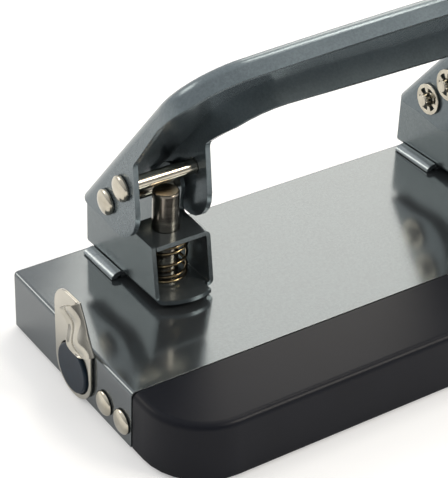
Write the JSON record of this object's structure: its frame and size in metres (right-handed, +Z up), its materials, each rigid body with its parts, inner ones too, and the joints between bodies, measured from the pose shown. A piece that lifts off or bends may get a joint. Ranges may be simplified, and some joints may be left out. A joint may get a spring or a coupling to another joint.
{
  "type": "three-hole punch",
  "caption": "Desk three-hole punch: folded steel base, sprung punch heads in folded brackets, one long stamped lever handle and a swinging side guide.",
  "frame": {"origin": "on the surface it stands on, straight below the handle hinge axis at the middle head", "axes": "+X along the punch to the right as its user sees it, +Y to the back, +Z up"},
  "size_m": [0.2872, 0.0844, 0.0998],
  "materials": {
    "grey_paint": "glossy metallic grey paint",
    "black_plastic": "satin black moulding",
    "rubber": "matt",
    "steel": "ground bright steel",
    "nickel": "warm nickel plate",
    "dark_inlay": "dark blue-black"
  },
  "bodies": {
    "base": {"base_rail": "grey_paint", "bracket_rivet_left_a": "steel", "bracket_rivet_left_b": "steel", "bracket_rivet_middle_a": "steel", "bracket_rivet_middle_b": "steel", "bracket_rivet_right_a": "steel", "bracket_rivet_right_b": "steel", "chip_tray": "black_plastic", "die_left": "steel", "die_middle": "steel", "die_right": "steel", "end_rivet_left_front": "nickel", "end_rivet_left_rear": "nickel", "end_rivet_right_front": "nickel", "end_rivet_right_rear": "nickel", "foot_plate_left": "grey_paint", "foot_plate_middle": "grey_paint", "foot_plate_right": "grey_paint", "foot_strip_front": "rubber", "foot_strip_rear": "rubber", "front_platform": "black_plastic", "head_bracket_left": "grey_paint", "head_bracket_middle": "grey_paint", "head_bracket_right": "grey_paint", "pivot_nut_left": "nickel", "pivot_nut_middle_inner": "nickel", "pivot_nut_middle_outer": "nickel", "pivot_nut_right": "nickel", "pivot_pin_left": "nickel", "pivot_pin_middle": "nickel", "pivot_pin_right": "nickel", "punch_spring_left": "steel", "punch_spring_middle": "steel", "punch_spring_right": "steel"},
    "handle": {"handle": "grey_paint", "press_pin_left": "nickel", "press_pin_middle": "nickel", "press_pin_right": "nickel", "press_nut_left": "nickel", "press_nut_middle_inner": "nickel", "press_nut_middle_outer": "nickel", "press_nut_right": "nickel"},
    "guide": {"side_guide": "nickel", "side_guide_insert": "dark_inlay", "side_guide_pivot": "steel"},
    "punch_left": {"punch_pin_left": "steel", "spring_collar_left": "nickel"},
    "punch_middle": {"punch_pin_middle": "steel", "spring_collar_middle": "nickel"},
    "punch_right": {"punch_pin_right": "steel", "spring_collar_right": "nickel"}
  },
  "joints": [
    {"name": "handle_hinge", "type": "hinge", "parent": "base", "child": "handle", "pos_m": [0, 0, 0.0419], "axis": [1, 0, 0], "range_deg": [0, 36]},
    {"name": "punch_slide_left", "type": "slide", "parent": "base", "child": "punch_left", "axis": [0, 0, -1], "range_m": [0, 0.0055], "stiffness_N_per_m": 800, "springref_m": -0.006, "deforming": ["punch_spring_left"]},
    {"name": "punch_slide_middle", "type": "slide", "parent": "base", "child": "punch_middle", "axis": [0, 0, -1], "range_m": [0, 0.0055], "stiffness_N_per_m": 800, "springref_m": -0.006, "deforming": ["punch_spring_middle"]},
    {"name": "punch_slide_right", "type": "slide", "parent": "base", "child": "punch_right", "axis": [0, 0, -1], "range_m": [0, 0.0055], "stiffness_N_per_m": 800, "springref_m": -0.006, "deforming": ["punch_spring_right"]},
    {"name": "side_guide_hinge", "type": "hinge", "parent": "base", "child": "guide", "pos_m": [-0.1409, -0.02, 0.0093], "axis": [1, 0, 0], "range_deg": [-75, 0]}
  ],
  "couplings": [
    {"joint": "punch_slide_left", "follows": "handle_hinge", "m_per_rad": 0.00875},
    {"joint": "punch_slide_middle", "follows": "handle_hinge", "m_per_rad": 0.00875},
    {"joint": "punch_slide_right", "follows": "handle_hinge", "m_per_rad": 0.00875}
  ]
}
